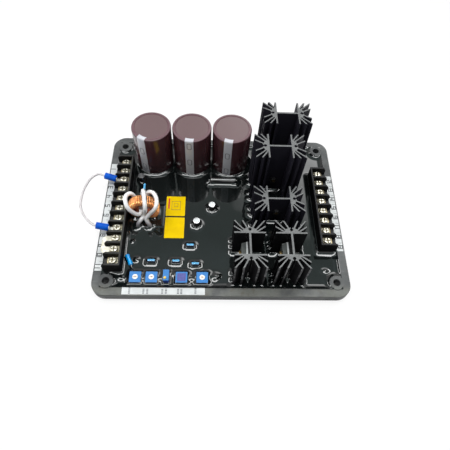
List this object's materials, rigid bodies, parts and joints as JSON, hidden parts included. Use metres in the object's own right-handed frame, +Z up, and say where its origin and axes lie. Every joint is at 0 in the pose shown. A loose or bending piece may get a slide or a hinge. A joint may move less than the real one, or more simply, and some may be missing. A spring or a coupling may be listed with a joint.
{
  "type": "automatic voltage regulator",
  "caption": "Potted generator voltage regulator: shallow tray of black resin with capacitors, heat sinks, trimmers and screw terminal strips.",
  "frame": {"origin": "middle of the tray's flat mounting face", "axes": "+X to the right along the tray's long side, +Y to the capacitors at the back, +Z up out of the tray"},
  "size_m": [0.2343, 0.168, 0.0715],
  "materials": {
    "tray_plastic": "moulded, dusty",
    "board_green": "lacquered",
    "resin_black": "poured, glossy",
    "can_sleeve": "shrink sleeve",
    "sink_black": "black anodised with bare cut ends",
    "pin_tin": "tinned",
    "device_black": "moulded with a bare metal back",
    "screw_steel": "zinc plated",
    "block_black": "moulded",
    "contact_brass": "tinned",
    "plate_nickel": "nickel plated",
    "lug_tin": "tinned",
    "sleeve_blue": "soft vinyl",
    "wire_white": "vinyl",
    "core_ferrite": "coated",
    "copper": "enamelled copper",
    "lead_white": "sleeving",
    "small_can": "bare top on a dark sleeve",
    "film_blue": "moulded",
    "resistor_blue": "lacquered",
    "resistor_black": "lacquered",
    "trimmer_blue": "moulded",
    "rotor_white": "moulded",
    "adjuster_brass": "turned",
    "seal_film": "film",
    "label_yellow": "paper film",
    "label_white": "paper film"
  },
  "bodies": {
    "regulator": {"tray": "tray_plastic", "circuit_board": "board_green", "potting_resin": "resin_black", "capacitor_left": "can_sleeve", "capacitor_middle": "can_sleeve", "capacitor_right": "can_sleeve", "heatsink_rear": "sink_black", "heatsink_middle": "sink_black", "heatsink_centre": "sink_black", "heatsink_front_left": "sink_black", "heatsink_front_right": "sink_black", "heatsink_pins": "pin_tin", "power_device_rear": "device_black", "power_device_middle": "device_black", "power_device_centre": "device_black", "power_device_front_left": "device_black", "power_device_front_right": "device_black", "device_screws": "screw_steel", "device_nuts": "screw_steel", "terminal_block_left": "block_black", "terminal_block_right": "block_black", "contact_bars": "contact_brass", "clamp_plates": "plate_nickel", "terminal_screws": "plate_nickel", "terminal_link": "lug_tin", "jumper_wire": "wire_white", "jumper_lug_rear": "lug_tin", "jumper_lug_front": "lug_tin", "jumper_sleeve_rear": "sleeve_blue", "jumper_sleeve_front": "sleeve_blue", "toroid_core": "core_ferrite", "toroid_winding": "copper", "toroid_lead": "lead_white", "small_capacitor_rear": "small_can", "small_capacitor_front": "small_can", "small_capacitor_left": "small_can", "film_capacitor_1": "film_blue", "film_capacitor_2": "film_blue", "film_capacitor_3": "film_blue", "film_capacitor_4": "film_blue", "slanted_resistor": "resistor_blue", "signal_resistor": "resistor_blue", "power_resistor": "resistor_black", "trimmer_1": "trimmer_blue", "trimmer_2": "trimmer_blue", "trimmer_3": "trimmer_blue", "trimmer_4": "trimmer_blue", "trimmer_5": "trimmer_blue", "seal_4": "seal_film", "yellow_label_rear": "label_yellow", "yellow_label_front": "label_yellow", "rim_label_left": "label_white", "rim_label_right": "label_white", "rim_label_front": "label_white"},
    "rotor_1": {"rotor_1": "rotor_white"},
    "rotor_2": {"rotor_2": "rotor_white"},
    "adjuster_3": {"adjuster_3": "adjuster_brass"},
    "rotor_5": {"rotor_5": "rotor_white"}
  },
  "joints": [
    {"name": "rotor_1_turn", "type": "hinge", "parent": "regulator", "child": "rotor_1", "pos_m": [-0.0717, -0.06825, 0.0138], "axis": [0, 0, 1], "range_deg": [-140, 140]},
    {"name": "rotor_2_turn", "type": "hinge", "parent": "regulator", "child": "rotor_2", "pos_m": [-0.0585, -0.06825, 0.0138], "axis": [0, 0, 1], "range_deg": [-140, 140]},
    {"name": "adjuster_3_turn", "type": "hinge", "parent": "regulator", "child": "adjuster_3", "pos_m": [-0.0471, -0.0708, 0.018], "axis": [0, 0, 1], "continuous": true},
    {"name": "rotor_5_turn", "type": "hinge", "parent": "regulator", "child": "rotor_5", "pos_m": [-0.0169, -0.06825, 0.0138], "axis": [0, 0, 1], "range_deg": [-140, 140]}
  ]
}
